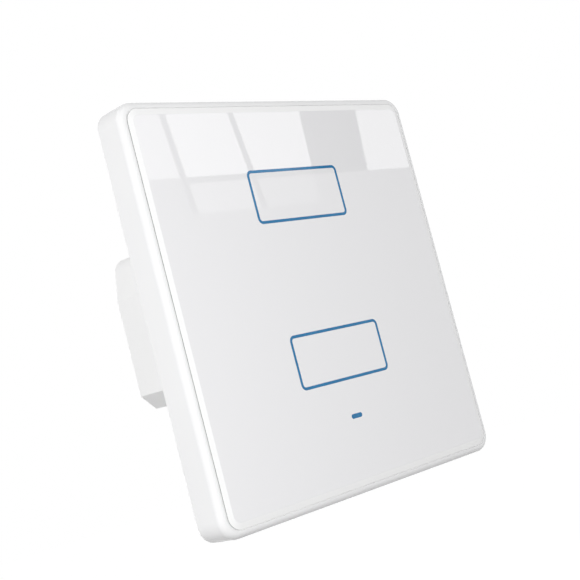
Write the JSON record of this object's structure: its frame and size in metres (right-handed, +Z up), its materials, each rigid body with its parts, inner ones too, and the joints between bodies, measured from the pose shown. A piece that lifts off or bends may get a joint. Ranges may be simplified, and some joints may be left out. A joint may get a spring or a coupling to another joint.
{
  "type": "touch light switch",
  "caption": "Square two-gang glass touch light switch for a wall box, with a clip-on front panel, outlined touch areas and screw terminals.",
  "frame": {"origin": "midway between the two box screws, on the wall's surface", "axes": "+X to the right seen from the room, +Y into the wall, +Z up"},
  "size_m": [0.086, 0.0373, 0.086],
  "materials": {
    "white_glass": "polished",
    "blue_enamel": "translucent enamel",
    "foam_tape": "matt",
    "white_gloss": "polished",
    "clear_acrylic": "clear",
    "contact_foam": "matt",
    "lamp_resin": "clear",
    "board_green": "solder mask",
    "zinc_steel": "zinc plated",
    "chip_black": "moulded",
    "passive_ceramic": "fired",
    "connector_black": "moulded",
    "gilt_brass": "plated",
    "plate_white": "moulded",
    "housing_white": "satin",
    "ferrite": "fired",
    "winding_tape": "polyester tape",
    "capacitor_sleeve": "shrunk sleeve",
    "varistor_blue": "dipped",
    "fuse_ceramic": "glazed",
    "film_yellow": "potted",
    "terminal_grey": "moulded",
    "relay_black": "moulded",
    "copper_wire": "enamelled copper"
  },
  "bodies": {
    "base": {"mounting_plate": "plate_white", "rear_housing": "housing_white", "housing_screws": "zinc_steel", "power_board": "board_green", "power_board_screws": "zinc_steel", "header_socket": "connector_black", "transformer_core": "ferrite", "transformer_winding": "winding_tape", "mains_capacitor": "capacitor_sleeve", "output_capacitor": "capacitor_sleeve", "inductor": "ferrite", "rectifier": "chip_black", "power_chip": "chip_black", "relay_driver": "chip_black", "varistor": "varistor_blue", "fuse": "fuse_ceramic", "film_capacitor": "film_yellow", "terminal_block": "terminal_grey", "terminal_tongues": "gilt_brass", "relay_1_base": "relay_black", "relay_1_coil": "copper_wire", "relay_1_yoke": "zinc_steel", "relay_1_contact": "gilt_brass", "relay_1_case": "relay_black", "relay_2_base": "relay_black", "relay_2_coil": "copper_wire", "relay_2_yoke": "zinc_steel", "relay_2_contact": "gilt_brass", "relay_2_case": "relay_black"},
    "front_panel": {"glass_panel": "white_glass", "upper_outline": "blue_enamel", "lower_outline": "blue_enamel", "indicator_bar": "blue_enamel", "panel_adhesive": "foam_tape", "bezel_frame": "white_gloss", "upper_light_guide": "clear_acrylic", "lower_light_guide": "clear_acrylic", "indicator_pipe": "clear_acrylic", "upper_touch_pad": "contact_foam", "lower_touch_pad": "contact_foam", "upper_lamps": "lamp_resin", "lower_lamps": "lamp_resin", "indicator_lamp": "lamp_resin", "touch_board": "board_green", "touch_board_screws": "zinc_steel", "touch_chip": "chip_black", "chip_passives": "passive_ceramic", "pin_header": "connector_black", "header_pins": "gilt_brass"},
    "relay_1_armature": {"relay_1_armature": "zinc_steel"},
    "relay_2_armature": {"relay_2_armature": "zinc_steel"},
    "terminal_1_screw": {"terminal_1_screw": "zinc_steel"},
    "terminal_1_clamp": {"terminal_1_clamp": "zinc_steel"},
    "terminal_2_screw": {"terminal_2_screw": "zinc_steel"},
    "terminal_2_clamp": {"terminal_2_clamp": "zinc_steel"},
    "terminal_3_screw": {"terminal_3_screw": "zinc_steel"},
    "terminal_3_clamp": {"terminal_3_clamp": "zinc_steel"},
    "terminal_4_screw": {"terminal_4_screw": "zinc_steel"},
    "terminal_4_clamp": {"terminal_4_clamp": "zinc_steel"}
  },
  "joints": [
    {"name": "front_pull", "type": "slide", "parent": "base", "child": "front_panel", "axis": [0, -1, 0], "range_m": [0, 0.02]},
    {"name": "relay_1_swing", "type": "hinge", "parent": "base", "child": "relay_1_armature", "pos_m": [-0.00635, 0.02455, 0.0057], "axis": [0, 0, -1], "range_deg": [0, 5], "stiffness_Nm_per_rad": 0.002},
    {"name": "relay_2_swing", "type": "hinge", "parent": "base", "child": "relay_2_armature", "pos_m": [0.01185, 0.02455, 0.0057], "axis": [0, 0, -1], "range_deg": [0, 5], "stiffness_Nm_per_rad": 0.002},
    {"name": "terminal_1_turn", "type": "hinge", "parent": "base", "child": "terminal_1_screw", "pos_m": [-0.01155, 0.02165, -0.012], "axis": [0, 0, 1], "range_deg": [0, 1080]},
    {"name": "terminal_1_clamping", "type": "slide", "parent": "base", "child": "terminal_1_clamp", "axis": [0, 0, -1], "range_m": [0, 0.0015]},
    {"name": "terminal_2_turn", "type": "hinge", "parent": "base", "child": "terminal_2_screw", "pos_m": [-0.00385, 0.02165, -0.012], "axis": [0, 0, 1], "range_deg": [0, 1080]},
    {"name": "terminal_2_clamping", "type": "slide", "parent": "base", "child": "terminal_2_clamp", "axis": [0, 0, -1], "range_m": [0, 0.0015]},
    {"name": "terminal_3_turn", "type": "hinge", "parent": "base", "child": "terminal_3_screw", "pos_m": [0.00385, 0.02165, -0.012], "axis": [0, 0, 1], "range_deg": [0, 1080]},
    {"name": "terminal_3_clamping", "type": "slide", "parent": "base", "child": "terminal_3_clamp", "axis": [0, 0, -1], "range_m": [0, 0.0015]},
    {"name": "terminal_4_turn", "type": "hinge", "parent": "base", "child": "terminal_4_screw", "pos_m": [0.01155, 0.02165, -0.012], "axis": [0, 0, 1], "range_deg": [0, 1080]},
    {"name": "terminal_4_clamping", "type": "slide", "parent": "base", "child": "terminal_4_clamp", "axis": [0, 0, -1], "range_m": [0, 0.0015]}
  ],
  "couplings": [
    {"joint": "terminal_1_turn", "follows": "terminal_1_clamping", "rad_per_m": 12566},
    {"joint": "terminal_2_turn", "follows": "terminal_2_clamping", "rad_per_m": 12566},
    {"joint": "terminal_3_turn", "follows": "terminal_3_clamping", "rad_per_m": 12566},
    {"joint": "terminal_4_turn", "follows": "terminal_4_clamping", "rad_per_m": 12566}
  ]
}
